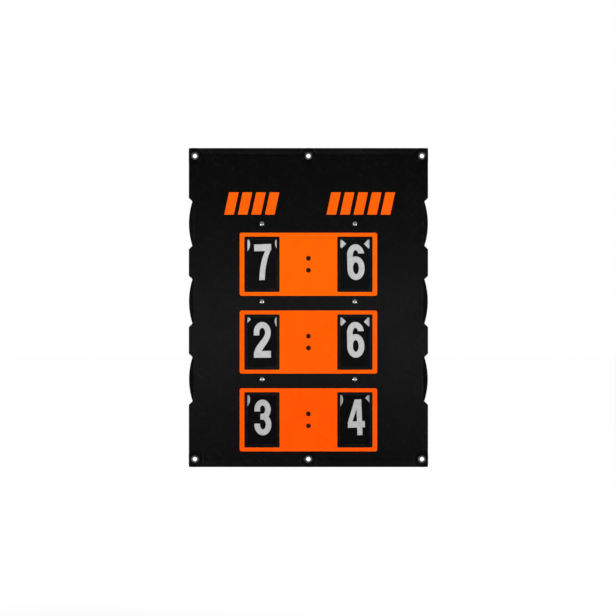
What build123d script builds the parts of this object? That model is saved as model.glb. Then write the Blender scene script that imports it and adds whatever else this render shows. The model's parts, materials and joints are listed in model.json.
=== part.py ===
from build123d import *
import math
import os

# Tennis scoreboard: two flexible plastic sheets with six turning number wheels between them.
# Lengths are millimetres. The front faces -Y, +X is to the right of someone reading it, +Z is up.
# The origin is the middle of the six eyelets, on the plane where the two sheets are clamped together.

# Board
board_corner_radius = 2.5
sheet_thickness = 1.5
edge_above_wheels = 6.0
edge_below_wheels = 37.0

# Number wheels, each with the digits 0 to 7. They reach the board's side edges
wheel_radius = 183.5
column_offset = 116.5
rows = 3
wheel_thickness = 0.8
wheel_clearance = 0.5
rim_rounding = 0.25
digits_per_wheel = 8
home_shown = (7, 2, 3)
guest_shown = (6, 6, 4)

# How far each wheel has been turned past its shown digit, by hand, in degrees
home_rest_turns = (1.6, 0.4, 1.0)
guest_rest_turns = (1.4, 1.2, 2.0)

# Pivots: a domed hollow post from the front, a screw from the back, and two spacers
post_radius = 3.0
post_running_clearance = 0.05
post_hole_clearance = 0.1
post_head_radius = 5.5
post_head_height = 1.3
post_head_lip = 0.5
spacer_radius = 9.0
spacer_end_clearance = 0.1
wheel_to_spacer_clearance = 2.5
screw_radius = 1.95
screw_thread_clearance = 0.05
screw_length = 7.0
screw_head_radius = 5.5
screw_head_height = 1.8
screw_head_rounding = 0.9
screw_slot_width = 1.2
screw_slot_depth = 0.8
post_tip_wall = 1.5
post_tip_clearance = 0.1

# Finger notches at the side edges, cut through both sheets
notch_length = 130.0
notch_depth = 13.0

# Score plates and windows
plate_thickness = 1.0
plate_corner_radius = 5.0
plate_edge_rounding = 0.3
plate_below_pivot = 23.0
plate_above_next_pivot = 14.0
plate_frame = 9.5
plate_side_frame = 11.5
window_lip = 7.6
plate_window_radius = 3.0
sheet_window_radius = 2.0

# Raised printing
numeral_width = 42.6
numeral_thickness = 0.2
numeral_gap = 0.2
numeral_below = 22.5
numeral_side = 15.4
print_thickness = 0.3
dot_radius = 6.0
dot_spacing = 30.0
mark_height = 56.0
mark_width = 24.0
mark_pitch = 34.0
mark_slant = 12.0
mark_above_plate = 45.5
home_marks = 4
home_marks_outward = 25.5
guest_marks = 5
guest_marks_outward = 14.8

# Eyelets
eyelet_bore_radius = 5.5
eyelet_wall = 0.5
eyelet_flange_radius = 10.0
eyelet_crown = 1.4
eyelet_side_inset = 15.0
eyelet_end_inset = 19.5
eyelet_hole_clearance = 0.1
eyelet_washer_thickness = 1.0
eyelet_roll_radius = 7.5
eyelet_roll_height = 0.8
seat_margin = 1.0
dimple_clearance = 1.5

# How far a cutting shape runs past what it cuts
cut_margin = 1.0

# Sizes that follow from the ones above
board_width = 2 * (column_offset + wheel_radius)
row_pitch = wheel_radius + spacer_radius + wheel_to_spacer_clearance
board_height = edge_above_wheels + 2 * wheel_radius + (rows - 1) * row_pitch + edge_below_wheels
top_pivot_z = board_height / 2 - edge_above_wheels - wheel_radius
layer_pitch = wheel_thickness + wheel_clearance
chamber_depth = 2 * rows * layer_pitch + wheel_clearance
sheet_inner = chamber_depth / 2
sheet_outer = sheet_inner + sheet_thickness

plate_height = row_pitch - plate_below_pivot - plate_above_next_pivot
plate_window_width = numeral_width + 2 * numeral_side + 2 * window_lip
plate_window_height = plate_height - 2 * plate_frame
plate_width = 2 * column_offset + plate_window_width + 2 * plate_side_frame
sheet_window_width = plate_window_width - 2 * window_lip
sheet_window_height = plate_window_height - 2 * window_lip
window_drop = plate_below_pivot + plate_height / 2

digit_angle = 360.0 / digits_per_wheel
numeral_inner_radius = numeral_width / 2 / math.tan(math.radians(digit_angle / 2)) + numeral_gap
window_bottom_drop = plate_below_pivot + plate_frame + window_lip + sheet_window_height
numeral_height = window_bottom_drop - numeral_below - numeral_inner_radius

eyelet_x = board_width / 2 - eyelet_side_inset
eyelet_z = board_height / 2 - eyelet_end_inset
eyelet_barrel_radius = eyelet_bore_radius + eyelet_wall
eyelet_hole_radius = eyelet_barrel_radius + eyelet_hole_clearance
seat_radius = eyelet_flange_radius + seat_margin
wheel_to_eyelet = math.hypot(column_offset, eyelet_z - top_pivot_z) - wheel_radius
dimple_radius = wheel_to_eyelet - dimple_clearance

eyelet_places = [(x, z) for z in (eyelet_z, -eyelet_z) for x in (-eyelet_x, 0.0, eyelet_x)]
row_z = [top_pivot_z - row * row_pitch for row in range(rows)]
pivots = [(side * column_offset, z) for z in row_z for side in (-1, 1)]


def front_plane(y):
    """A drawing plane at depth y, seen from the front: x to the right, y up."""
    return Plane(origin=(0, y, 0), x_dir=(1, 0, 0), z_dir=(0, -1, 0))


def slab(sketch, front, back):
    """A flat piece with the drawn outline, from depth front to depth back."""
    return extrude(front_plane(back) * sketch, amount=back - front, dir=(0, -1, 0))


def turned(profile, x, z):
    """A round piece about the Y line through x, z. The profile is drawn as radius, depth."""
    return Pos(x, 0, z) * revolve(profile, Axis.Y)


def wheel_front(layer):
    """Depth of a wheel's front face. Layer 0 is nearest the reader."""
    return -sheet_inner + wheel_clearance + layer * layer_pitch


def front_edges(piece):
    """The edges round the face that looks at the reader."""
    return piece.faces().sort_by(Axis.Y)[0].edges()


def save(name, piece):
    """Write one node. A list of solids becomes one group."""
    shape = Compound(children=list(piece)) if isinstance(piece, list) else piece
    export_step(shape, os.path.join("parts", name + ".step"))


# The two sheets

def notch(side, z):
    """A finger notch with 45 degree ends, drawn a little past the board's edge."""
    edge = side * board_width / 2
    past = side * notch_depth
    outer = notch_length / 2 + notch_depth
    inner = notch_length / 2 - notch_depth
    return Polygon((edge + past, z - outer), (edge + past, z + outer),
                   (edge - past, z + inner), (edge - past, z - inner))


def board_outline():
    """The outline of both sheets, with the finger notches at the wheels' rims."""
    outline = RectangleRounded(board_width, board_height, board_corner_radius)
    for x, z in pivots:
        outline -= notch(math.copysign(1, x), z)
    return outline


def sheet_dimple():
    """The round dimple that draws a sheet down to the clamping plane at an eyelet.

    Its section is a flat seat and two equal arcs that bend opposite ways, at the sheet's thickness.
    """
    run = dimple_radius - seat_radius
    bend_radius = (run ** 2 + sheet_inner ** 2) / (4 * sheet_inner)
    bend_angle = 2 * math.degrees(math.atan2(sheet_inner, run))
    middle = sheet_thickness / 2
    seat = Line((eyelet_hole_radius, middle), (seat_radius, middle))
    fall = JernArc((seat_radius, middle), (1, 0), bend_radius, bend_angle)
    rise = JernArc(fall @ 1, fall % 1, bend_radius, -bend_angle)
    return revolve(trace(seat + fall + rise, sheet_thickness), Axis.Y)


def back_sheet():
    """The back sheet: flat behind the wheels, dimpled forward at the eyelets."""
    outline = board_outline()
    flat = outline
    for x, z in eyelet_places:
        flat -= Pos(x, z) * Circle(dimple_radius)
    for x, z in pivots:
        flat -= Pos(x, z) * Circle(post_radius + post_hole_clearance)
    sheet = slab(flat, sheet_inner, sheet_outer)
    envelope = slab(outline, 0, sheet_outer)
    dimple = sheet_dimple()
    for x, z in eyelet_places:
        sheet += (Pos(x, 0, z) * dimple) & envelope
    return sheet


def front_sheet(plain_sheet):
    """The back sheet turned to face forward, with a window below each pivot."""
    window = RectangleRounded(sheet_window_width, sheet_window_height, sheet_window_radius)
    windows = Sketch()
    for x, z in pivots:
        windows += Pos(x, z - window_drop) * window
    cutter = slab(windows, -sheet_outer - cut_margin, -sheet_inner + cut_margin)
    return mirror(plain_sheet, Plane.XZ) - cutter


# Pieces on the front sheet

def score_plate(z):
    """A plate under the pivots at height z, with one window for each column."""
    middle = z - window_drop
    window = RectangleRounded(plate_window_width, plate_window_height, plate_window_radius)
    face = Pos(0, middle) * RectangleRounded(plate_width, plate_height, plate_corner_radius)
    for side in (-1, 1):
        face -= Pos(side * column_offset, middle) * window
    plate = slab(face, -sheet_outer - plate_thickness, -sheet_outer)
    return fillet(front_edges(plate), plate_edge_rounding)


def score_colon(z):
    """Two raised dots, one above the other, in the middle of a plate."""
    face = -sheet_outer - plate_thickness
    dots = []
    for side in (-1, 1):
        dot = Pos(0, z - window_drop + side * dot_spacing / 2) * Circle(dot_radius)
        dots.append(slab(dot, face - print_thickness, face))
    return dots


def heading_marks(x, count):
    """A row of slanted raised bars above a column, centred on x."""
    bottom = top_pivot_z - plate_below_pivot + mark_above_plate
    lean = mark_slant / 2
    half = mark_width / 2
    marks = []
    for index in range(count):
        centre = x + (index - (count - 1) / 2) * mark_pitch
        bar = Polygon((centre - lean - half, bottom), (centre - lean + half, bottom),
                      (centre + lean + half, bottom + mark_height),
                      (centre + lean - half, bottom + mark_height))
        marks.append(slab(bar, -sheet_outer - print_thickness, -sheet_outer))
    return marks


# Numerals, drawn upright in a box of numeral_width by numeral_height about its middle

def at(across, up):
    """A point of the numeral's box. Both run from -1 to 1."""
    return (across * numeral_width / 2, up * numeral_height / 2)


def oval(across, low, high, shoulder):
    """An upright oval of half width across, between low and high, with elliptical ends."""
    half_width = across * numeral_width / 2
    bottom = low * numeral_height / 2
    top = high * numeral_height / 2
    end = min(shoulder * numeral_height / 2, 0.499 * (top - bottom))
    upper = Pos(0, top - end) * Ellipse(half_width, end)
    lower = Pos(0, bottom + end) * Ellipse(half_width, end)
    body = Pos(0, (top + bottom) / 2) * Rectangle(2 * half_width, top - bottom - 2 * end)
    return upper + lower + body


def half_oval(across, low, high):
    """The upper half of an ellipse of half width across, springing at low and topping at high."""
    width = across * numeral_width / 2
    height = (high - low) * numeral_height / 2
    return EllipticalCenterArc(at(0, low), width, height, start_angle=0, arc_size=180)


def bowl(low, high, across=1.0):
    """A closed oval stroke."""
    stem = 0.66
    bar = 0.33
    return oval(across, low, high, 0.6) - oval(across - stem, low + bar, high - bar, 0.33)


def block(left, low, right, high):
    """A rectangle in the numeral's box."""
    width = (right - left) * numeral_width / 2
    height = (high - low) * numeral_height / 2
    middle = at((left + right) / 2, (low + high) / 2)
    return Pos(*middle) * Rectangle(width, height)


def zero():
    return bowl(-1, 1)


def one():
    flag = Bezier(at(0.1, 1), at(0.0, 0.74), at(-0.3, 0.64), at(-0.62, 0.62))
    outline = flag + Polyline(at(-0.62, 0.62), at(-0.62, 0.36), at(-0.12, 0.36), at(-0.12, -1),
                              at(0.56, -1), at(0.56, 1), at(0.1, 1))
    return make_face(outline)


def two():
    crown = half_oval(1.0, 0.42, 1.0)
    hollow = half_oval(0.34, 0.4, 0.67)
    outer_sweep = Bezier(at(-0.1, -0.62), at(0.5, -0.22), at(1, 0.05), at(1, 0.42))
    inner_sweep = Bezier(at(0.34, 0.4), at(0.34, 0.05), at(-1, -0.3), at(-1, -0.84))
    hook = Polyline(at(-1, 0.42), at(-1, 0.25), at(-0.34, 0.25), at(-0.34, 0.4))
    base = Polyline(at(-1, -0.84), at(-1, -1), at(1, -1), at(1, -0.62), at(-0.1, -0.62))
    return make_face(crown + hook + hollow + inner_sweep + base + outer_sweep)


def three():
    arms = bowl(-0.12, 1, 0.96) + bowl(-1, 0.21)
    gap = block(-1.1, -0.34, -0.27, 0.34) + block(-0.4, 0.2, 0, 0.34) + block(-0.4, -0.34, 0, -0.12)
    return arms - gap


def four():
    outline = Polygon(at(-0.1, 1), at(0.68, 1), at(0.68, -0.22), at(1, -0.22), at(1, -0.57),
                      at(0.68, -0.57), at(0.68, -1), at(0.08, -1), at(0.08, -0.57), at(-1, -0.57),
                      at(-1, -0.26))
    return outline - Polygon(at(0.08, 0.46), at(0.08, -0.22), at(-0.45, -0.22))


def five():
    shoulder = Polygon(at(-0.94, -0.04), at(-0.3, -0.04), at(-0.25, 0.65), at(0.88, 0.65),
                       at(0.88, 1), at(-0.8, 1))
    return bowl(-1, 0.3) - block(-1.1, -0.36, -0.2, -0.04) + shoulder


def six():
    stem = bowl(-1, 1) - block(0, -0.5, 1.1, 0.48)
    return stem + bowl(-1, 0.32)


def seven():
    outer_sweep = Bezier(at(1, 0.7), at(0.5, 0.3), at(0.2, -0.35), at(0.14, -1))
    inner_sweep = Bezier(at(-0.5, -1), at(-0.44, -0.35), at(-0.15, 0.25), at(0.3, 0.62))
    bar = Polyline(at(0.3, 0.62), at(-1, 0.62), at(-1, 1), at(1, 1), at(1, 0.7))
    foot = Line(at(0.14, -1), at(-0.5, -1))
    return make_face(bar + outer_sweep + foot + inner_sweep)


digit_faces = [digit() for digit in (zero, one, two, three, four, five, six, seven)]


# Number wheels

def number_wheel(x, z, layer):
    """A disc that turns on its post, with its edges eased."""
    face = Circle(wheel_radius) - Circle(post_radius + post_running_clearance)
    disc = slab(face, wheel_front(layer), wheel_front(layer) + wheel_thickness)
    rims = disc.edges().filter_by(GeomType.CIRCLE).group_by(SortBy.RADIUS)[-1]
    return Pos(x, 0, z) * fillet(rims, rim_rounding)


def wheel_numerals(x, z, layer, shown, rest_turn):
    """The raised digits of a wheel. The shown one hangs below the pivot, the next is to its right."""
    front = wheel_front(layer)
    centre = numeral_inner_radius + numeral_height / 2
    numerals = []
    for digit in range(digits_per_wheel):
        turn = (digit - shown) * digit_angle + rest_turn
        placed = Rot(0, 0, turn) * Pos(0, -centre) * digit_faces[digit]
        numerals.append(Pos(x, 0, z) * slab(placed, front - numeral_thickness, front))
    return numerals


# Pivots

def pivot_post(x, z):
    """A domed head on the front sheet and a hollow barrel that runs back to the screw."""
    face = -sheet_outer
    tip = sheet_outer - post_tip_clearance
    bore = screw_radius + screw_thread_clearance
    bottom = sheet_outer - screw_length - post_tip_wall
    crown = face - post_head_height
    dome = TangentArc((0, crown), (post_head_radius, face - post_head_lip), tangent=(1, 0))
    outline = dome + Polyline(dome @ 1, (post_head_radius, face), (post_radius, face),
                              (post_radius, tip), (bore, tip), (bore, bottom), (0, bottom), (0, crown))
    return turned(make_face(outline), x, z)


def pivot_screw(x, z):
    """A slotted screw in the post's barrel, with its head on the back sheet."""
    face = sheet_outer
    back = face + screw_head_height
    disc = turned(Polygon((0, face), (screw_head_radius, face), (screw_head_radius, back), (0, back)), x, z)
    head = fillet(disc.edges().sort_by(Axis.Y)[-1], screw_head_rounding)
    shank = turned(Polygon((0, face - screw_length), (screw_radius, face - screw_length),
                           (screw_radius, face), (0, face)), x, z)
    slot = Pos(x, z) * Rectangle(2 * (screw_head_radius + cut_margin), screw_slot_width)
    return head + shank - slab(slot, back - screw_slot_depth, back + cut_margin)


def spacer(x, z, front, back):
    """A round spacer on the post, between a sheet and a wheel."""
    face = Circle(spacer_radius) - Circle(post_radius + post_hole_clearance)
    return Pos(x, 0, z) * slab(face, front, back)


# Eyelets

def eyelet(x, z):
    """A front flange and its barrel, rolled over the washer behind."""
    front = -sheet_thickness
    washer_back = sheet_thickness + eyelet_washer_thickness
    end = washer_back + eyelet_roll_height
    flange_middle = (eyelet_bore_radius + eyelet_flange_radius) / 2
    crown = ThreePointArc((eyelet_bore_radius, front), (flange_middle, front - eyelet_crown),
                          (eyelet_flange_radius, front))
    barrel = Polyline((eyelet_flange_radius, front), (eyelet_barrel_radius, front),
                      (eyelet_barrel_radius, washer_back), (eyelet_roll_radius, washer_back))
    roll = ThreePointArc((eyelet_roll_radius, washer_back),
                         ((eyelet_roll_radius + eyelet_bore_radius) / 2, end),
                         (eyelet_bore_radius, washer_back))
    wall = Line((eyelet_bore_radius, washer_back), (eyelet_bore_radius, front))
    return turned(make_face(crown + barrel + roll + wall), x, z)


def eyelet_washer(x, z):
    """A flat ring under the rolled end, behind the back sheet."""
    face = Circle(eyelet_flange_radius) - Circle(eyelet_hole_radius)
    return Pos(x, 0, z) * slab(face, sheet_thickness, sheet_thickness + eyelet_washer_thickness)


# Write every node

os.makedirs("parts", exist_ok=True)

plain_sheet = back_sheet()
save("back_panel", plain_sheet)
save("front_panel", front_sheet(plain_sheet))
for row, z in enumerate(row_z):
    save(f"score_plate_{row + 1}", score_plate(z))
save("score_colons", [dot for z in row_z for dot in score_colon(z)])
save("home_marks", heading_marks(-column_offset - home_marks_outward, home_marks))
save("guest_marks", heading_marks(column_offset + guest_marks_outward, guest_marks))

posts = []
screws = []
front_spacers = []
rear_spacers = []
for layer, (x, z) in enumerate(pivots):
    row = layer // 2
    column = "home" if x < 0 else "guest"
    shown = (home_shown if x < 0 else guest_shown)[row]
    rest_turn = (home_rest_turns if x < 0 else guest_rest_turns)[row]
    front = wheel_front(layer)
    back = front + wheel_thickness
    save(f"{column}_wheel_{row + 1}", number_wheel(x, z, layer))
    save(f"{column}_numbers_{row + 1}", wheel_numerals(x, z, layer, shown, rest_turn))
    posts.append(pivot_post(x, z))
    screws.append(pivot_screw(x, z))
    front_spacers.append(spacer(x, z, -sheet_inner, front - spacer_end_clearance))
    rear_spacers.append(spacer(x, z, back + spacer_end_clearance, sheet_inner))
save("pivot_posts", posts)
save("pivot_screws", screws)
save("front_spacers", front_spacers)
save("rear_spacers", rear_spacers)

save("eyelets", [eyelet(x, z) for x, z in eyelet_places])
save("eyelet_washers", [eyelet_washer(x, z) for x, z in eyelet_places])

print("board", board_width, "x", board_height, "x", 2 * sheet_outer)
print("wheel radius", wheel_radius, "row pitch", row_pitch, "pivot heights", row_z)
print("numeral", numeral_width, "x", numeral_height, "from radius", numeral_inner_radius)
print("eyelets at x", eyelet_x, "z", eyelet_z, "dimple radius", dimple_radius)
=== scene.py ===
# %% [markdown]
# # A tennis scoreboard
#
# The real object is a flat board that hangs on a court fence. Two black plastic sheets hold six
# thin wheels between them, three for each player. Each wheel carries the digits 0 to 7, and a
# window in an orange plate shows one of them. Players turn a wheel by its rim, in a notch at the
# board's side.
#
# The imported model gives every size. This script dresses it: it builds the two sheets anew with the
# soft relief that a flexible sheet has, and gives each other piece a finish. The model is loaded
# first, because everything after it reads its places from there.

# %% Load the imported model
import json
import math

import bpy
import numpy as np
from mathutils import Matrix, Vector


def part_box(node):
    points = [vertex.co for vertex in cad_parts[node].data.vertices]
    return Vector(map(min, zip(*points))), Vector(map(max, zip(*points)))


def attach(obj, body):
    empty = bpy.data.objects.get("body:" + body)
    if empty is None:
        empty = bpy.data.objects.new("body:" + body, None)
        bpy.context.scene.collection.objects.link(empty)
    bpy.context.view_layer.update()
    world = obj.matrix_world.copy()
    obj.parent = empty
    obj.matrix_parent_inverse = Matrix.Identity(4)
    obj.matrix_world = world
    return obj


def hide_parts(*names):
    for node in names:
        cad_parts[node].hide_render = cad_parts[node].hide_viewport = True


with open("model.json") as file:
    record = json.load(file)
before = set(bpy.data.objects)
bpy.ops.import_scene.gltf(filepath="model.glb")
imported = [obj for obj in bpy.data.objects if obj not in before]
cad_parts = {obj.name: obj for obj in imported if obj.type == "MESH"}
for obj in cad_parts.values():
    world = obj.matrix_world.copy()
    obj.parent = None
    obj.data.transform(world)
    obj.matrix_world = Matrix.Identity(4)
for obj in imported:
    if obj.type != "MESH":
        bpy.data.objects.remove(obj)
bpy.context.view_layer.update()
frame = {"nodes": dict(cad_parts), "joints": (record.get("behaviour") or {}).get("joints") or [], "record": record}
record = frame["record"]

# %% [markdown]
# ## Sizes read from the model
#
# Blender works in metres, and a maker thinks in millimetres. The shapes below are worked out in
# millimetres and turned into metres when a mesh is made. The windows and notches are read from the
# openings in the record, which stop a small gap short of the material all round. Pivots come from
# the joints, eyelets from the mount.

# %% Read the board's layout
MM = 0.001
sheet_thickness = 1.5
board_corner = 2.5
opening_gap = 0.3


def in_mm(box):
    """The lowest and the highest corner of a box in metres, as arrays in mm."""
    return [np.array(corner) / MM for corner in box]


low, high = in_mm(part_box("front_panel"))
half_width, half_height = high[0], high[2]
sheet_outer = -low[1]

openings = {item["name"]: np.array(item["box_m"]) / MM for item in record["physics"]["openings"]}
window_boxes = [box for name, box in openings.items() if "window" in name]
window_centres = np.array([box.mean(axis=0)[[0, 2]] for box in window_boxes])
window_half = (window_boxes[0][1] - window_boxes[0][0])[[0, 2]] / 2 + opening_gap

pivots = np.array([joint["pos_m"] for joint in frame["joints"]])[:, [0, 2]] / MM
wheel_low, wheel_high = in_mm(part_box("home_wheel_1"))
wheel_radius = (wheel_high[2] - wheel_low[2]) / 2

finger_low, finger_high = openings["home_front_finger_gap_1"]
notch_depth = finger_high[0] + half_width - opening_gap
notch_half = (finger_high[2] - finger_low[2]) / 2 + opening_gap + notch_depth

mounts = {mount["name"]: mount["dims"] for mount in record["mounts"]}
eyelet_x = mounts["corner_eyelets"]["spacing_x_mm"] / 2
eyelet_z = mounts["corner_eyelets"]["spacing_y_mm"] / 2
eyelets = np.array([(x, z) for z in (eyelet_z, -eyelet_z) for x in (-eyelet_x, 0.0, eyelet_x)])
print("board", 2 * half_width, "x", 2 * half_height, "wheel radius",
      round(float(wheel_radius), 2), "notch depth", round(float(notch_depth), 2))

# %% [markdown]
# ## The camera
#
# The photo looks straight at the board from far away: both side edges stay upright and nothing of
# the board's thickness shows. A long lens four metres away gives that view. The lens is chosen from
# the photo's scale, and the camera stands off the board's middle by the same small amount as in the
# photo.

# %% Place the camera
image_width = 616.0
pixels_per_mm = 0.3988
camera_distance = 4.0
camera_offset = -0.0011
sensor_width = 36.0
view_width = image_width / pixels_per_mm * MM
scene = bpy.context.scene

camera_data = bpy.data.cameras.new("photo_camera")
camera_data.sensor_width = sensor_width
camera_data.lens = sensor_width * (camera_distance - sheet_outer * MM) / view_width
camera = bpy.data.objects.new("photo_camera", camera_data)
camera.location = (camera_offset, -camera_distance, camera_offset)
camera.rotation_euler = (math.radians(90), 0, 0)
scene.collection.objects.link(camera)
scene.camera = camera
print("lens", round(camera_data.lens, 1), "mm")

# %% [markdown]
# ## Helpers for shader nodes
#
# Every finish here is a small network of nodes, and a few helpers keep the networks readable. The
# first adds a node and fills its inputs, with a plain value or with another node's output. The
# others are the steps that come up again and again: a sum, a noise, and the stretching of a value
# from one span to another.

# %% Node helpers
def put(tree, kind, inputs=None, **settings):
    """Add one shader node. Each input gets a value, or a link from another node's output."""
    node = tree.nodes.new("ShaderNode" + kind)
    for name, value in settings.items():
        setattr(node, name, value)
    for name, value in (inputs or {}).items():
        if isinstance(value, bpy.types.NodeSocket):
            tree.links.new(value, node.inputs[name])
        else:
            node.inputs[name].default_value = value
    return node


def math_node(tree, operation, *values):
    """One arithmetic step, and its result."""
    return put(tree, "Math", dict(enumerate(values)), operation=operation).outputs[0]


def noise(tree, where, scale, detail, **more):
    """Noise between 0 and 1, with about as many blobs to the metre as the scale says."""
    lookup = {"Vector": where, "Scale": scale, "Detail": detail, **more}
    return put(tree, "TexNoise", lookup).outputs["Fac"]


def spread(tree, value, low, high, to_low=0.0, to_high=1.0, **settings):
    """Stretch a value from the span low to high onto another span, and hold it at both ends."""
    spans = {"Value": value, "From Min": low, "From Max": high, "To Min": to_low,
             "To Max": to_high}
    return put(tree, "MapRange", spans, **settings).outputs["Result"]


def kept_above(tree, value, threshold, ramp):
    """A mask that is 0 up to the threshold, and 1 from a short ramp above it."""
    return spread(tree, value, threshold, math_node(tree, "ADD", threshold, ramp))


print("node helpers ready")

# %% [markdown]
# The next helpers are for node groups. An effect such as edge wear is drawn once as a group and
# then placed in each material with its own values. Every effect takes a place on the piece and
# gives one result.

# %% Node group helpers
def spaced(inputs):
    """The same inputs under the names that their sockets have, with spaces."""
    return {name.replace("_", " "): value for name, value in inputs.items()}


def effect(name, output, **inputs):
    """An empty node group, with its own input and output sockets. None stands for a vector."""
    tree = bpy.data.node_groups.new(name, "ShaderNodeTree")
    for label, value in spaced(inputs).items():
        kind = "NodeSocketVector" if value is None else "NodeSocketFloat"
        socket = tree.interface.new_socket(label, in_out="INPUT", socket_type=kind)
        if value is not None:
            socket.default_value = value
    tree.interface.new_socket(output, in_out="OUTPUT", socket_type="NodeSocketFloat")
    given = tree.nodes.new("NodeGroupInput").outputs
    return tree, given, tree.nodes.new("NodeGroupOutput").inputs


def use(tree, group, where, **inputs):
    """Place an effect in a material, at the given coordinates, and return its result."""
    return put(tree, "Group", {"Vector": where, **spaced(inputs)}, node_tree=group).outputs[0]


print("node group helpers ready")

# %% [markdown]
# ## Shared effects
#
# Black plastic sheet, orange plates, wheels and metal all show the same few things when seen from
# close by: a fine moulded grain, soft blotches where hands and weather have been, thin rub marks,
# paler edges and specks of dust. Each is one node group. They read a piece's own coordinates, in
# metres, so a size given to them is a real size on the object.

# %% Grain and blotches
fine_ratio, fine_share = 3.0, 0.25


def grain_effect():
    """Fine relief: noise at the given size plus a quarter as much at a third of the size."""
    tree, given, result = effect("plastic_grain", "Height", Vector=None, Size=0.001)
    scale = math_node(tree, "DIVIDE", 1.0, given["Size"])
    coarse = noise(tree, given["Vector"], scale, detail=2.0)
    finer = math_node(tree, "MULTIPLY", scale, fine_ratio)
    fine = noise(tree, given["Vector"], finer, detail=1.0)
    share = math_node(tree, "MULTIPLY", fine, fine_share)
    tree.links.new(math_node(tree, "ADD", coarse, share), result["Height"])
    return tree


def blotch_effect():
    """Soft patches: slow noise, spread between a low and a high value."""
    tree, given, result = effect("soft_blotches", "Value", Vector=None, Size=0.05, Low=0.0,
                                 High=1.0)
    scale = math_node(tree, "DIVIDE", 1.0, given["Size"])
    patches = noise(tree, given["Vector"], scale, detail=4.0, Roughness=0.6)
    value = spread(tree, patches, low=0.3, high=0.7, to_low=given["Low"], to_high=given["High"])
    tree.links.new(value, result["Value"])
    return tree


grain = grain_effect()
blotches = blotch_effect()
print("effects", grain.name, blotches.name)

# %% [markdown]
# Rub marks are long thin noise: the coordinates are squeezed along one direction before the noise
# is looked up, so a speck becomes a streak. Two sets at different angles cross each other, as
# scratches do. The dust is the opposite: round specks where a noise passes a high threshold.

# %% Rub marks and dust
streak_angles = (0.5, -0.9)
streak_stretch = (1.0, 1.0, 20.0)


def scratch_effect():
    """Thin crossing streaks: noise stretched along two slanted directions, kept where high."""
    tree, given, result = effect("rub_marks", "Mask", Vector=None, Size=0.002, Threshold=0.66)
    scale = math_node(tree, "DIVIDE", 1.0, given["Size"])
    masks = []
    for angle in streak_angles:
        turned = put(tree, "Mapping", {"Vector": given["Vector"], "Rotation": (0.0, angle, 0.0),
                                       "Scale": streak_stretch}, vector_type="TEXTURE")
        streaks = noise(tree, turned.outputs[0], scale, detail=1.0)
        masks.append(kept_above(tree, streaks, given["Threshold"], ramp=0.05))
    tree.links.new(math_node(tree, "MAXIMUM", *masks), result["Mask"])
    return tree


def dust_effect():
    """Round specks: a noise kept only near its peaks, thinned by a slower one."""
    tree, given, result = effect("dust_specks", "Mask", Vector=None, Size=0.0015, Threshold=0.7)
    scale = math_node(tree, "DIVIDE", 1.0, given["Size"])
    peaks = noise(tree, given["Vector"], scale, detail=0.0)
    specks = kept_above(tree, peaks, given["Threshold"], ramp=0.06)
    slow = noise(tree, given["Vector"], scale=14.0, detail=2.0)
    patches = spread(tree, slow, low=0.4, high=0.65)
    tree.links.new(math_node(tree, "MULTIPLY", specks, patches), result["Mask"])
    return tree


scratches = scratch_effect()
dust = dust_effect()
print("effects", scratches.name, dust.name)

# %% [markdown]
# Plastic goes pale where it is rubbed, first along its edges. On the plates the pale edge is also a
# painted highlight along the edges. The edge effect takes a distance from the nearest edge and breaks
# up the pale line with noise. For the plates the distance is worked out in the shader from a
# rectangle.

# %% Edge wear and plate outline
def edge_effect():
    """Pale edge: one at the edge, falling to nothing over the width, broken up by noise."""
    tree, given, result = effect("edge_wear_and_highlight", "Mask", Vector=None, Distance=0.01, Width=0.001)
    near = spread(tree, given["Distance"], 0.0, given["Width"], to_low=1.0, to_high=0.0,
                  interpolation_type="SMOOTHSTEP")
    patches = noise(tree, given["Vector"], scale=90.0, detail=5.0)
    broken = spread(tree, patches, low=0.38, high=0.62)
    tree.links.new(math_node(tree, "MULTIPLY", near, broken), result["Mask"])
    return tree


def rectangle_effect():
    """Distance outside a rectangle, negative inside: the larger of its overshoots in X and Z."""
    tree, given, result = effect("rectangle_distance", "Distance", Vector=None, Middle_X=0.0,
                                 Middle_Z=0.0, Half_Width=0.1, Half_Height=0.1)
    parts = put(tree, "SeparateXYZ", {"Vector": given["Vector"]}).outputs
    overshoots = []
    for axis, middle, half in (("X", "Middle X", "Half Width"), ("Z", "Middle Z", "Half Height")):
        away = math_node(tree, "ABSOLUTE", math_node(tree, "SUBTRACT", parts[axis], given[middle]))
        overshoots.append(math_node(tree, "SUBTRACT", away, given[half]))
    tree.links.new(math_node(tree, "MAXIMUM", *overshoots), result["Distance"])
    return tree


edge_wear_and_highlight = edge_effect()
rectangle_distance = rectangle_effect()
print("effects", edge_wear_and_highlight.name, rectangle_distance.name)

# %% [markdown]
# The wheels rub on their neighbours as they turn, so their marks are rings about the pivot. A noise
# that is looked up by radius alone would draw perfect circles. So the direction from the pivot is
# added to the lookup, a little of it, and each ring fades and comes back on its way round.

# %% Turning marks
turning_drift = 1.5


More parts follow.
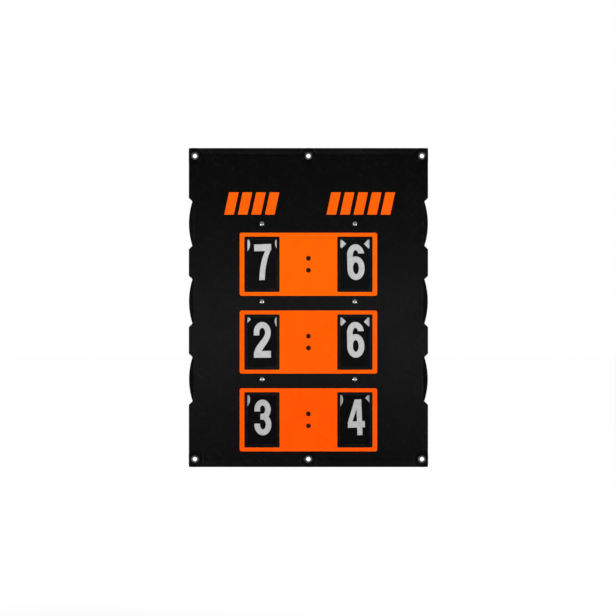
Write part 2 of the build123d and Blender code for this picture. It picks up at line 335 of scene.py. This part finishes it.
def turning_effect():
    """Rings about a pivot: noise looked up by radius, drifting with the direction, kept if high."""
    tree, given, result = effect("turning_marks", "Mask", Vector=None, Pivot_X=0.0, Pivot_Z=0.0,
                                 Size=0.0006, Threshold=0.62)
    pivot = put(tree, "CombineXYZ", {"X": given["Pivot X"], "Z": given["Pivot Z"]}).outputs[0]
    away = put(tree, "VectorMath", {0: given["Vector"], 1: pivot}, operation="SUBTRACT").outputs[0]
    flat = put(tree, "VectorMath", {0: away, 1: (1.0, 0.0, 1.0)}, operation="MULTIPLY").outputs[0]
    radius = put(tree, "VectorMath", {0: flat}, operation="LENGTH").outputs["Value"]
    heading = put(tree, "VectorMath", {0: flat}, operation="NORMALIZE").outputs[0]
    ring = math_node(tree, "DIVIDE", radius, given["Size"])
    drift = {0: heading, "Scale": turning_drift}
    along = put(tree, "VectorMath", drift, operation="SCALE").outputs[0]
    across = put(tree, "CombineXYZ", {"Y": ring}).outputs[0]
    lookup = put(tree, "VectorMath", {0: along, 1: across}, operation="ADD").outputs[0]
    marks = noise(tree, lookup, scale=1.0, detail=2.0)
    tree.links.new(kept_above(tree, marks, given["Threshold"], ramp=0.08), result["Mask"])
    return tree


turning_marks = turning_effect()
print("effect", turning_marks.name)

# %% [markdown]
# ## Building a finish
#
# Each material below starts the same way, with a Principled shader and the piece's own coordinates,
# and then layers colours over each other. A layer is a mix between the colour so far and a new one,
# by a mask. The masks are weak on purpose: from a step away the board has to look as even as it
# does in the photo. Each ends the same way too, with a roughness in soft patches and a fine grain
# in relief.

# %% Material helpers
def new_finish(name, **constants):
    """A material with its tree, shader inputs and coordinates. Constants go to the shader."""
    material = bpy.data.materials.new(name)
    material.use_nodes = True
    tree = material.node_tree
    shader = tree.nodes["Principled BSDF"].inputs
    for label, value in spaced(constants).items():
        shader[label].default_value = value
    return material, tree, shader, put(tree, "TexCoord").outputs["Object"]


def grey(value):
    """A neutral colour."""
    return (value, value, value, 1.0)


def layer(tree, under, over, mask, strength=1.0):
    """Mix a colour over another by a mask times a strength."""
    factor = math_node(tree, "MULTIPLY", mask, strength)
    mixed = put(tree, "Mix", {"Factor": factor, 6: under, 7: over}, data_type="RGBA")
    return mixed.outputs[2]


def mottled(tree, where, dark, light, size):
    """Two colours that change into each other in soft patches of a size in metres."""
    return layer(tree, dark, light, use(tree, blotches, where, Size=size, Low=0.0, High=1.0))


def surface(tree, shader, where, colour, rough_size, rough, grain_size, grain_height=0.00002):
    """Link a colour, a patchy roughness between two values and a grain, sizes in metres."""
    tree.links.new(colour, shader["Base Color"])
    patches = use(tree, blotches, where, Size=rough_size, Low=rough[0], High=rough[1])
    tree.links.new(patches, shader["Roughness"])
    height = use(tree, grain, where, Size=grain_size)
    bump = put(tree, "Bump", {"Height": height, "Distance": grain_height})
    tree.links.new(bump.outputs["Normal"], shader["Normal"])


print("material helpers ready")

# %% [markdown]
# ## Black sheet
#
# The sheets are black plastic with a satin face. In the photo they are very dark, a little lighter
# in a wide soft band at the middle of the board, where the studio's light is mirrored. So the
# colour is nearly black, the shine is weak but fairly tight, and the edges are rubbed a little
# grey. The distance from the nearest cut edge comes with the mesh, as an attribute.

# %% Black sheet finish
def black_sheet_finish():
    """Near black with blotches, fine grain, rub marks, dust and grey edges."""
    material, tree, shader, where = new_finish("black_sheet_finish", Specular_IOR_Level=0.02)
    colour = mottled(tree, where, (0.0008, 0.0008, 0.0009, 1.0),
                     (0.0014, 0.0014, 0.0015, 1.0), size=0.12)
    rub = use(tree, scratches, where, Size=0.0016, Threshold=0.67)
    colour = layer(tree, colour, grey(0.012), rub, strength=0.35)
    distance = put(tree, "Attribute", attribute_name="edge_distance").outputs["Fac"]
    edge = use(tree, edge_wear_and_highlight, where, Distance=distance, Width=0.0022)
    colour = layer(tree, colour, grey(0.03), edge, strength=0.5)
    speck = use(tree, dust, where, Size=0.0018, Threshold=0.72)
    colour = layer(tree, colour, grey(0.05), speck, strength=0.4)
    surface(tree, shader, where, colour, rough_size=0.05, rough=(0.21, 0.25), grain_size=0.0009)
    return material


black_sheet = black_sheet_finish()
print("finish", black_sheet.name)

# %% [markdown]
# ## Orange plates
#
# The score plates are bright, almost fluorescent orange plastic. So strong a colour leaves no room
# for white shine, so the shine is kept weak and the colour carries the piece. Each plate gets a
# little less green than the one above it, which is painted shade: darker towards the bottom. Handling
# leaves faint marks, and the edges of the plate and of its two windows are a touch paler, partly rub
# wear and partly a painted highlight.

# %% Orange plate finish
# Inside each window of a plate shows a lip of bare sheet, this wide, round the sheet's window.
window_lip = 7.6
plate_window_half = (window_half + window_lip) * MM
plate_window_x = [float(x) * MM for x in np.unique(window_centres[:, 0])]
blotch_green = 0.006


def orange_plate_finish(node, green):
    """Saturated orange with slight blotches, rub marks, and pale edges at outline and windows that are partly wear
    and partly a painted highlight.
    """
    corner_low, corner_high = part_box(node)
    middle = (corner_low + corner_high) / 2
    half = (corner_high - corner_low) / 2
    material, tree, shader, where = new_finish(node + "_finish", Specular_IOR_Level=0.005)
    colour = mottled(tree, where, (0.92, green - blotch_green, 0.0005, 1.0),
                     (0.96, green + blotch_green, 0.0008, 1.0), size=0.04)
    rub = use(tree, scratches, where, Size=0.0014, Threshold=0.68)
    colour = layer(tree, colour, (0.95, 0.18, 0.01, 1.0), rub, strength=0.3)
    outline = use(tree, rectangle_distance, where, Middle_X=middle.x, Middle_Z=middle.z,
                  Half_Width=half.x, Half_Height=half.z)
    distance = math_node(tree, "MULTIPLY", outline, -1.0)
    for x in plate_window_x:
        hole = use(tree, rectangle_distance, where, Middle_X=x, Middle_Z=middle.z,
                   Half_Width=plate_window_half[0], Half_Height=plate_window_half[1])
        distance = math_node(tree, "MINIMUM", distance, hole)
    # The pale edge is partly rub wear and partly a painted highlight along the plate's edges.
    edge = use(tree, edge_wear_and_highlight, where, Distance=distance, Width=0.0014)
    colour = layer(tree, colour, (0.98, 0.22, 0.02, 1.0), edge, strength=0.5)
    surface(tree, shader, where, colour, rough_size=0.03, rough=(0.3, 0.38), grain_size=0.0011)
    return material


print("windows in the plates", [round(2 * float(side) / MM, 1) for side in plate_window_half], "mm")

# %% [markdown]
# ## Orange and dark print
#
# The heading bars are printed in the plates' orange, and the two dots between the scores in a very
# dark brown. Print is duller than the plastic under it and wears off in small spots.

# %% Print finishes
def print_finish(name, dark, light, worn, size):
    """A mottled colour with small worn spots and a faint texture of its own."""
    material, tree, shader, where = new_finish(name, Specular_IOR_Level=0.015)
    colour = mottled(tree, where, dark, light, size)
    speck = use(tree, dust, where, Size=0.0011, Threshold=0.66)
    colour = layer(tree, colour, worn, speck, strength=0.5)
    surface(tree, shader, where, colour, rough_size=size, rough=(0.42, 0.55), grain_size=0.0006)
    return material


orange_print = print_finish("orange_print_finish", (0.9, 0.1, 0.0012, 1.0),
                            (0.96, 0.116, 0.0018, 1.0), worn=(0.6, 0.05, 0.002, 1.0), size=0.006)
dark_print = print_finish("dark_print_finish", (0.012, 0.004, 0.002, 1.0),
                          (0.022, 0.008, 0.004, 1.0), worn=(0.2, 0.03, 0.004, 1.0), size=0.004)
print("finish", orange_print.name, dark_print.name)

# %% [markdown]
# ## Wheels and numerals
#
# The wheels are thin matt black discs with pale grey numerals printed on them. Both carry fine
# rings about the pivot, because they slide along their neighbours. The pattern is centred on the
# wheel's own pivot and read from the wheel's own coordinates, so it turns with the wheel. Shine and
# paleness are given for each wheel: the lower rows get less shine and darker numerals, as painted
# shade that makes them darker towards the bottom, as the plates are. The materials themselves are
# made further down, one for each wheel.

# %% Wheel and numeral finishes
numeral_blotch = 0.82


def rings_about(pivot, tree, where, size, threshold):
    """The turning marks about a pivot given in mm."""
    return use(tree, turning_marks, where, Pivot_X=pivot[0] * MM, Pivot_Z=pivot[1] * MM,
               Size=size, Threshold=threshold)


def wheel_finish(name, pivot, shine):
    """Matt black with rings about the pivot, blotches and fine rub marks."""
    material, tree, shader, where = new_finish(name, Specular_IOR_Level=shine)
    colour = mottled(tree, where, (0.0012, 0.0012, 0.0013, 1.0), (0.002, 0.002, 0.0021, 1.0),
                     size=0.05)
    ring = rings_about(pivot, tree, where, size=0.0009, threshold=0.6)
    colour = layer(tree, colour, grey(0.009), ring, strength=0.4)
    rub = use(tree, scratches, where, Size=0.0012, Threshold=0.68)
    colour = layer(tree, colour, grey(0.012), rub, strength=0.3)
    surface(tree, shader, where, colour, rough_size=0.03, rough=(0.38, 0.48), grain_size=0.0008)
    return material


def numeral_finish(name, pivot, paleness):
    """Light grey print, mottled, with faint darker rings where it has rubbed."""
    material, tree, shader, where = new_finish(name, Specular_IOR_Level=0.1)
    colour = mottled(tree, where, grey(numeral_blotch * paleness), grey(paleness), size=0.008)
    ring = rings_about(pivot, tree, where, size=0.0007, threshold=0.62)
    colour = layer(tree, colour, grey(0.3), ring, strength=0.25)
    surface(tree, shader, where, colour, rough_size=0.01, rough=(0.45, 0.6), grain_size=0.0005)
    return material


print("wheel and numeral finishes ready")

# %% [markdown]
# ## Metal and spacers
#
# The pivot heads are low polished domes. In the photo each is dark with two small glints, so the
# metal's colour is painted a dark grey, a painted reflection of dark surroundings, which keeps the
# white surroundings down and still lets a strong lamp through. Its roughness changes in smudges. The
# eyelets are darker still, and a little paler on the crown, where hooks rub them. How worn an eyelet
# is depends on how far a point stands out in front, read from its own Y coordinate. The spacers
# inside are plain pale plastic with a little moulding texture.

# %% Metal and spacer finishes
def pivot_painted_reflection_finish():
    """Polished metal painted dark grey as a painted reflection: blotchy, with darker fine scratches and a smudged
    roughness.
    """
    material, tree, shader, where = new_finish("pivot_painted_reflection_finish", Metallic=1.0)
    # The dark grey is a painted reflection of dark surroundings on polished metal.
    colour = mottled(tree, where, (0.1, 0.1, 0.098, 1.0), (0.16, 0.16, 0.156, 1.0), size=0.004)
    rub = use(tree, scratches, where, Size=0.0006, Threshold=0.62)
    colour = layer(tree, colour, grey(0.06), rub, strength=0.5)
    surface(tree, shader, where, colour, rough_size=0.003, rough=(0.1, 0.2), grain_size=0.0008,
            grain_height=0.00001)
    return material


def eyelet_finish(crown_y, foot_y):
    """Dark plated metal that turns paler towards the crown, where hooks rub it."""
    material, tree, shader, where = new_finish("eyelet_finish", Metallic=1.0)
    depth = put(tree, "SeparateXYZ", {"Vector": where}).outputs["Y"]
    raised = spread(tree, depth, foot_y, crown_y, interpolation_type="SMOOTHSTEP")
    patchy = use(tree, blotches, where, Size=0.003, Low=0.3, High=1.0)
    worn = math_node(tree, "MULTIPLY", raised, patchy)
    colour = layer(tree, (0.006, 0.006, 0.0065, 1.0), (0.06, 0.06, 0.058, 1.0), worn)
    surface(tree, shader, where, colour, rough_size=0.0025, rough=(0.14, 0.28), grain_size=0.0008,
            grain_height=0.00001)
    return material


pivot_painted_reflection_metal = pivot_painted_reflection_finish()
eyelet_metal = eyelet_finish(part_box("eyelets")[0].y, -sheet_thickness * MM)
spacer_plastic = print_finish("spacer_finish", (0.5, 0.5, 0.47, 1.0), (0.62, 0.62, 0.59, 1.0),
                              worn=(0.3, 0.29, 0.26, 1.0), size=0.01)
print("finish", pivot_painted_reflection_metal.name, eyelet_metal.name, spacer_plastic.name)

# %% [markdown]
# ## The sheets, as one surface with holes
#
# A sheet is flexible: it dips to the eyelets, where the two sheets are pressed together, it has a
# crease along the eyelet rows with a lip that flares out beyond it, and it sinks a little where no
# wheel holds it up. Cutting holes into a mesh with booleans leaves ragged triangles that shade
# badly on such soft relief.
#
# Instead the sheet is a grid. Its lines run through every place that matters, such as window
# corners and notch ends, and its outer columns are drawn in to follow the notches. Round each hole
# a block of cells is left out and filled with a fan of rings, which change from the block's square
# outline to the hole's own shape.
#
# First come the sizes: of the holes and their blocks, and of the dimples, the crease and the strip
# at each side whose columns are drawn in.

# %% Sizes of holes and relief
window_radius, window_margin = 2.0, 6.0
pivot_hole, pivot_block = 3.1, 10.0
eyelet_hole, eyelet_block = 6.1, 13.0

dimple_clearance, seat_margin = 1.5, 2.0
wheel_to_eyelet = np.linalg.norm(pivots[:, None] - eyelets, axis=-1).min() - wheel_radius
dimple_radius = wheel_to_eyelet - dimple_clearance
dimple_seat = eyelet_block - seat_margin

crease_above_eyelets = 3.0
crease_z = eyelet_z + crease_above_eyelets
crease_width, crease_depth = 4.5, 0.35
top_flare, bottom_flare = 1.1, 0.4
sag_reach, sag_depth = 60.0, 0.9

strip_width = 28.0
strip_start = half_width - strip_width
print("dimple radius", round(float(dimple_radius), 2), "crease at", crease_z,
      "strip from", strip_start, "mm")

# %% [markdown]
# The grid is given as a list of stops. A line lies on each stop, and the space between two stops is
# divided evenly by more lines. Where the relief or the outline bends, the lines lie closer.

# %% Grid lines
coarse_step, fine_step = 5.0, 2.6
rounding_error = 0.001


def grid_lines(stops, fine_zones):
    """Lines through every stop, with even lines between them, closer inside the fine zones."""
    stops = np.unique(np.round(stops, 4))
    lines = []
    for start, end in zip(stops, stops[1:]):
        middle = (start + end) / 2
        step = fine_step if any(a < middle < b for a, b in fine_zones) else coarse_step
        count = math.ceil((end - start) / step - rounding_error)
        lines.append(np.linspace(start, end, count, endpoint=False))
    return np.append(np.concatenate(lines), stops[-1])


print("lines from 0 to 20 mm", grid_lines([0.0, 20.0], []).tolist())

# %% [markdown]
# The stops come from everything that the sheet has: its windows, pivots, eyelets and notches, its
# crease, its rounded corners, and the strips at the sides. Fine zones are the columns and rows of
# the pivots, the column of the middle eyelets, the strips, and both ends of the board from a little
# inside the crease.

# %% Stops and lines of the board
crease_reach, strip_reach = 30.0, 14.0
# Distances from the crease, and shares of the corner's rounding, at which a line lies.
crease_steps = (-crease_reach, -crease_width, -2.2, 0.0, 2.0, 13.0)
corner_shares = (1.0, 0.62, 0.3, 0.08)
# From the start of a window's rounding: two lines just outside it, then the edge of its block.
window_steps = np.array([0.0, 2.5, 5.0, window_radius + window_margin]) - window_radius
window_steps_x, window_steps_z = window_half[:, None] + window_steps

stops_x, stops_z = [0.0], [0.0]
for x, z in window_centres:
    stops_x += [*(x + window_steps_x), *(x - window_steps_x)]
    stops_z += [*(z + window_steps_z), *(z - window_steps_z)]
for places, block in ((pivots, pivot_block), (eyelets, eyelet_block)):
    for x, z in places:
        stops_x += [x - block, x, x + block]
        stops_z += [z - block, z + block]
for side in (-1, 1):
    for inset in (0.0, notch_depth):
        stops_z += [z + side * (notch_half - inset) for z in pivots[:, 1]]
    stops_z += [side * (crease_z + away) for away in crease_steps]
    stops_z += [side * (half_height - board_corner * share) for share in (0.0, *corner_shares)]
    stops_x += [side * x for x in (dimple_radius, strip_start - strip_reach, strip_start)]
    stops_x += [side * half_width]
stops_x = [x for x in stops_x if abs(x) <= half_width]

fine_x = [(-dimple_radius, dimple_radius)]
fine_x += [(x - pivot_block, x + pivot_block) for x in np.unique(pivots[:, 0])]
fine_x += [(-half_width, strip_reach - strip_start), (strip_start - strip_reach, half_width)]
fine_z = [(z - pivot_block, z + pivot_block) for z in np.unique(pivots[:, 1])]
fine_z += [(-half_height, crease_reach - crease_z), (crease_z - crease_reach, half_height)]
lines_x = grid_lines(stops_x, fine_x)
lines_z = grid_lines(stops_z, fine_z)
print("grid", len(lines_x), "by", len(lines_z), "lines")

# %% [markdown]
# The outline is one formula: half the board's width, less the notches, less the rounding of the
# four corners. Columns near the side edge are squeezed so that the last one lies on that outline.

# %% Outline of a sheet
def half_width_at(z):
    """The half width at height z, less 45 degree notches, less quarter circle corners."""
    rows = np.unique(pivots[:, 1])
    notches = [np.clip(notch_half - np.abs(z - row), 0.0, notch_depth) for row in rows]
    over = np.clip(np.abs(z) - (half_height - board_corner), 0.0, board_corner)
    rounding = board_corner - np.sqrt(board_corner ** 2 - over ** 2)
    return half_width - np.max(notches, axis=0) - rounding


def drawn_in(x, z):
    """Squeeze the columns beyond strip_start, in proportion, to end on the outline."""
    beyond = np.clip(np.abs(x) - strip_start, 0.0, None) / (half_width - strip_start)
    inner = np.minimum(np.abs(x), strip_start)
    return np.sign(x) * (inner + beyond * (half_width_at(z) - strip_start))


def edge_distance(x, z, holes):
    """Distance to the nearest cut edge, which is the outline or the rim of a hole.

    To a hole of centre, core and radius it is the distance beyond the core less the radius.
    """
    nearest = np.minimum(half_width_at(z) - np.abs(x), half_height - np.abs(z))
    for centre, core, radius in holes:
        offset = np.abs(np.stack([x - centre[0], z - centre[1]]))
        beyond = np.hypot(*np.maximum(offset - core[:, None], 0.0))
        nearest = np.minimum(nearest, beyond - radius)
    return np.clip(nearest, 0.0, None)


print("half width in a notch", float(half_width_at(pivots[0, 1])), "mm")

# %% [markdown]
# The depth of the surface is another formula, a sum of three gentle shapes: dimples at the eyelets,
# the crease with its flared lip, and the sag outside the wheels. Where a dimple is deep it takes
# over from the other two, so that the sheet lies flat under the eyelet.

# %% Relief of a sheet
def smooth(share):
    """An S curve from 0 to 1, flat at both ends: three times the square less twice the cube."""
    share = np.clip(share, 0.0, 1.0)
    return share * share * (3.0 - 2.0 * share)


def distance_to(places, x, z):
    """The distance from each point to the nearest of some places."""
    return np.min([np.hypot(x - a, z - b) for a, b in places], axis=0)


def recess(x, z):
    """How far the outer face lies behind its flat level, in mm. Negative values stand out.

    The dimple's share of its full depth, plus the rest of the share times crease, lip and sag.
    """
    to_eyelet = distance_to(eyelets, x, z)
    dimple = smooth((dimple_radius - to_eyelet) / (dimple_radius - dimple_seat))
    above = np.abs(z) - crease_z
    crease = crease_depth * smooth(1.0 + above / crease_width)
    flare = np.where(z > 0, top_flare, bottom_flare)
    lip = np.where(above > 0, -flare * above / (half_height - crease_z), 0.0)
    off_wheel = distance_to(pivots, x, z) - wheel_radius
    sag = sag_depth * smooth(off_wheel / sag_reach)
    return dimple * (sheet_outer - sheet_thickness) + (1.0 - dimple) * (crease + lip + sag)


print("deepest recess", sheet_outer - sheet_thickness, "mm")

# %% [markdown]
# A hole is a core rectangle and a rounding radius. For a round hole the core is a single point. The
# rim point that belongs to a point on the block's outline lies on the line to the nearest point of
# the core, one radius away from it. That one rule draws circles and rounded windows alike.

# %% Rings round a hole
def block_outline(i0, i1, j0, j1):
    """Grid numbers round a block of cells, counterclockwise from the front, without a repeat."""
    across, up = np.arange(i0, i1), np.arange(j0, j1)
    right, left = np.full(len(up), i1), np.full(len(up), i0)
    bottom, top = np.full(len(across), j0), np.full(len(across), j1)
    i = np.concatenate([across, right, np.arange(i1, i0, -1), left])
    j = np.concatenate([bottom, up, top, np.arange(j1, j0, -1)])
    return i, j


def ring_points(outer, centre, core, radius, rings):
    """Rings of points that go in even steps from a block's outline to the hole's rim."""
    nearest = centre + np.clip(outer - centre, -core, core)
    away = outer - nearest
    rim = nearest + radius * away / np.linalg.norm(away, axis=1, keepdims=True)
    share = (np.arange(1, rings + 1) / rings)[:, None, None]
    return outer + share * (rim - outer)


def ring_faces(number):
    """Four-sided faces between each ring of point numbers and the next, all the way round."""
    following = np.roll(number, -1, axis=1)
    corners = [number[:-1], following[:-1], following[1:], number[1:]]
    return np.stack(corners, axis=-1).reshape(-1, 4)


point_core = np.array([0.0, 0.0])
eyelet_rings, pivot_rings, window_rings = 4, 3, 2
eyelet_holes = [(at, point_core, eyelet_hole, eyelet_block, eyelet_rings) for at in eyelets]
pivot_holes = [(at, point_core, pivot_hole, pivot_block, pivot_rings) for at in pivots]
window_core, window_block = window_half - window_radius, window_half + window_margin
window_holes = [(at, window_core, window_radius, window_block, window_rings)
                for at in window_centres]
print("holes", len(eyelet_holes), len(pivot_holes), len(window_holes))

# %% [markdown]
# The grid's points are numbered first. For each hole the cells of its block are dropped, and its
# rings are added with numbers of their own. Points that no face uses any more are dropped last.

# %% Points and faces of a sheet
# Keeps a block's end from missing the line that it lies on.
slack = 0.01


def sheet_points(holes):
    """Points in mm and faces of a flat sheet. Holes: centre, core, radius, block, rings."""
    flat_x, flat_z = np.meshgrid(lines_x, lines_z, indexing="ij")
    points = [np.stack([drawn_in(flat_x, flat_z), flat_z], axis=-1).reshape(-1, 2)]
    number = np.arange(flat_x.size).reshape(flat_x.shape)
    keep = np.ones((len(lines_x) - 1, len(lines_z) - 1), bool)
    faces = []
    total = flat_x.size
    for centre, core, radius, block, rings in holes:
        (left, bottom), (right, top) = centre - block - slack, centre + block - slack
        i0, i1 = np.searchsorted(lines_x, [left, right])
        j0, j1 = np.searchsorted(lines_z, [bottom, top])
        keep[i0:i1, j0:j1] = False
        start = number[block_outline(i0, i1, j0, j1)]
        fan = ring_points(points[0][start], centre, core, radius, rings)
        points.append(fan.reshape(-1, 2))
        added = total + np.arange(rings * len(start)).reshape(rings, -1)
        faces.append(ring_faces(np.vstack([start, added])))
        total += added.size
    cells = np.stack([number[:-1, :-1], number[1:, :-1], number[1:, 1:], number[:-1, 1:]], axis=-1)
    faces.append(cells[keep])
    used, renumbered = np.unique(np.concatenate(faces), return_inverse=True)
    return np.concatenate(points)[used], renumbered.reshape(-1, 4)


print("points in a sheet without holes", len(sheet_points([])[0]))

# %% [markdown]
# A mesh can be built one point at a time, but whole arrays go into it at once, which is far
# quicker. Blender wants the corners of all faces in one long row, and for each face the place in
# that row where it starts.

# %% Arrays into a mesh
def new_mesh(name, points, faces):
    """Put arrays of points in mm and of four-sided faces into a new smooth object."""
    mesh = bpy.data.meshes.new(name)
    mesh.vertices.add(len(points))
    mesh.vertices.foreach_set("co", (points * MM).astype(np.float32).ravel())
    mesh.loops.add(faces.size)
    mesh.loops.foreach_set("vertex_index", faces.astype(np.int32).ravel())
    mesh.polygons.add(len(faces))
    mesh.polygons.foreach_set("loop_start", np.arange(0, faces.size, 4, dtype=np.int32))
    mesh.polygons.foreach_set("use_smooth", np.ones(len(faces), bool))
    mesh.update(calc_edges=True)
    mesh.validate()
    piece = bpy.data.objects.new(name, mesh)
    scene.collection.objects.link(piece)
    return piece


print("mesh helper ready")

# %% [markdown]
# A sheet is made as its outer face only. A modifier gives it its thickness, inwards, and another
# one eases the cut edges, because a perfectly sharp edge catches no light. Both sheets ride on the
# body named board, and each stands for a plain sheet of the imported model, which is then not shown.

# %% Make the two sheets
edge_easing = 0.3
sharp_from = 50


def make_sheet(name, holes, side):
    """A sheet with its relief. Side is -1 for the front and 1 for the back, wound the other way."""
    flat, faces = sheet_points(holes)
    x, z = flat.T
    y = side * (sheet_outer - recess(x, z))
    piece = new_mesh(name, np.stack([x, y, z], axis=-1), faces if side < 0 else faces[:, ::-1])
    distance = edge_distance(x, z, [hole[:3] for hole in holes]) * MM
    attribute = piece.data.attributes.new("edge_distance", "FLOAT", "POINT")
    attribute.data.foreach_set("value", distance.astype(np.float32))
    solid = piece.modifiers.new("sheet_thickness", "SOLIDIFY")
    solid.thickness = sheet_thickness * MM
    solid.offset = -1.0
    eased = piece.modifiers.new("eased_edges", "BEVEL")
    eased.width = edge_easing * MM
    eased.segments = 2
    eased.limit_method = "ANGLE"
    eased.angle_limit = math.radians(sharp_from)
    eased.harden_normals = True
    piece.data.materials.append(black_sheet)
    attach(piece, "board")
    print(name, len(flat), "points", len(faces), "faces")
    return piece


front_sheet = make_sheet("front_sheet", eyelet_holes + pivot_holes + window_holes, -1)
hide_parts("front_panel")
back_sheet = make_sheet("back_sheet", eyelet_holes + pivot_holes, 1)
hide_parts("back_panel")

# %% [markdown]
# ## Dress the other pieces
#
# The remaining pieces have their true shape in the imported model, so they keep it and only get their
# finishes. Wheels and numerals get a material each, because the rings are centred on that wheel's
# own pivot. What changes from row to row is listed from the top row down. The lower rows are darker,
# which is painted shade.

# %% Assign the finishes
# Less green, less shine and darker numerals lower down are painted shade, darker towards the bottom.
plate_green_painted_shade = (0.1109, 0.0943, 0.0777)
wheel_shine_painted_shade = (0.018, 0.014, 0.009)
numeral_paleness_painted_shade = (0.503, 0.503, 0.444)


def dress(node, material):
    """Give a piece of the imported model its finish."""
    frame["nodes"][node].material_slots[0].material = material


for row, green in enumerate(plate_green_painted_shade, 1):
    dress(f"score_plate_{row}", orange_plate_finish(f"score_plate_{row}", green))
for joint, pivot in zip(frame["joints"], pivots):
    wheel = joint["child"]
    numbers = wheel.replace("wheel", "numbers")
    row = int(wheel[-1]) - 1
    dress(wheel, wheel_finish(wheel + "_finish", pivot, wheel_shine_painted_shade[row]))
    dress(numbers, numeral_finish(numbers + "_finish", pivot, numeral_paleness_painted_shade[row]))
plain_finishes = {"score_colons": dark_print, "home_marks": orange_print,
                  "guest_marks": orange_print, "pivot_posts": pivot_painted_reflection_metal,
                  "pivot_screws": pivot_painted_reflection_metal, "front_spacers": spacer_plastic,
                  "rear_spacers": spacer_plastic, "eyelets": eyelet_metal,
                  "eyelet_washers": eyelet_metal}
for node, material in plain_finishes.items():
    dress(node, material)

# %% [markdown]
# ## Light
#
# The photo was taken in soft even light on pure white. The world gives a part of it from all round.
# A long, low box behind the camera is what the black sheet mirrors as a soft band across its
# middle. Large boxes above on both sides model the edges. A small strong one low on each side puts
# the two glints on every pivot head, and stands far enough out that the flat sheet mirrors it past
# the camera. One more stands behind, so that the back is as well lit. Together they light a face at
# a plain level, at which a colour looks about as it is written.

# %% Lamps
def softbox(name, place, size, brightness, target=(0.0, 0.0, 0.0)):
    """A rectangular lamp that faces a target. Its watts are pi times its area times brightness."""
    data = bpy.data.lights.new(name, "AREA")
    data.shape = "RECTANGLE"
    data.size, data.size_y = size
    data.energy = math.pi * size[0] * size[1] * brightness
    lamp = bpy.data.objects.new(name, data)
    lamp.location = place
    toward = Vector(target) - Vector(place)
    lamp.rotation_euler = toward.to_track_quat("-Z", "Y").to_euler()
    scene.collection.objects.link(lamp)


softbox("band_box", place=(0.0, -4.4, -0.12), size=(3.2, 0.5), brightness=8.5,
        target=(0.0, 0.0, -0.1))
for side, word, brightness in ((-1, "left", 1.5), (1, "right", 1.3)):
    softbox(f"upper_{word}_box", (side * 2.4, -2.9, 2.3), size=(2.6, 2.2), brightness=brightness)
for side, word in ((-1, "left"), (1, "right")):
    softbox(f"lower_{word}_box", (side * 1.3, -3.25, -0.66), size=(0.4, 0.4), brightness=43.0)
softbox("rear_box", place=(0.6, 3.2, 1.6), size=(2.0, 1.6), brightness=3.2)
print("lamps", len(bpy.data.lights))

# %% [markdown]
# ## White surroundings
#
# The background is white for the camera and for anything mirrored in metal, at a strength of one.
# For the light that falls on the object the world is less than half as strong, which leaves the
# modelling to the lamps. The shader tells the two apart by the kind of ray that asks.

# %% World
world_light = 0.4


def seen_directly(tree):
    """One for rays from the camera, from mirrors and through glass, and zero for the rest."""
    path = put(tree, "LightPath").outputs
    mirrored = math_node(tree, "MAXIMUM", path["Is Glossy Ray"], path["Is Transmission Ray"])
    return math_node(tree, "MAXIMUM", path["Is Camera Ray"], mirrored)


world = bpy.data.worlds.new("white_studio")
world.use_nodes = True
background = world.node_tree.nodes["Background"].inputs
background["Color"].default_value = grey(1.0)
strength = spread(world.node_tree, seen_directly(world.node_tree), 0.0, 1.0, world_light, 1.0)
world.node_tree.links.new(strength, background["Strength"])
scene.world = world
print("world", world.name)

# %% [markdown]
# ## The floor
#
# The floor is pale and keeps the board's shadow. It is lifted to white for the camera in the same
# way, more so with distance, where less light reaches it. It lies well below the board, which
# hangs.

# %% Floor
floor_half, floor_z = 30.0, -1.0
near, far = 0.9, 3.5
lift_near, lift_far = 0.36, 0.67

floor_corners = np.array([(-1, -1), (1, -1), (1, 1), (-1, 1)]) * floor_half
floor_points = np.column_stack([floor_corners, np.full(4, floor_z)]) / MM
floor = new_mesh("studio_floor", floor_points, np.array([[0, 1, 2, 3]]))
floor_finish, floor_tree, floor_shader, floor_where = new_finish(
    "floor_finish", Roughness=0.9, Specular_IOR_Level=0.0, Base_Color=grey(0.8),
    Emission_Color=grey(1.0))
away = put(floor_tree, "VectorMath", {0: floor_where}, operation="LENGTH").outputs["Value"]
lift = spread(floor_tree, away, near, far, lift_near, lift_far)
shown_lift = math_node(floor_tree, "MULTIPLY", lift, seen_directly(floor_tree))
floor_tree.links.new(shown_lift, floor_shader["Emission Strength"])
floor.data.materials.append(floor_finish)
print("floor at", floor_z, "m")

# %% [markdown]
# ## Finish
#
# The colours are shown with the Standard view, so that a written colour keeps its value.

# %% Finish
bpy.context.scene.view_settings.view_transform = "Standard"
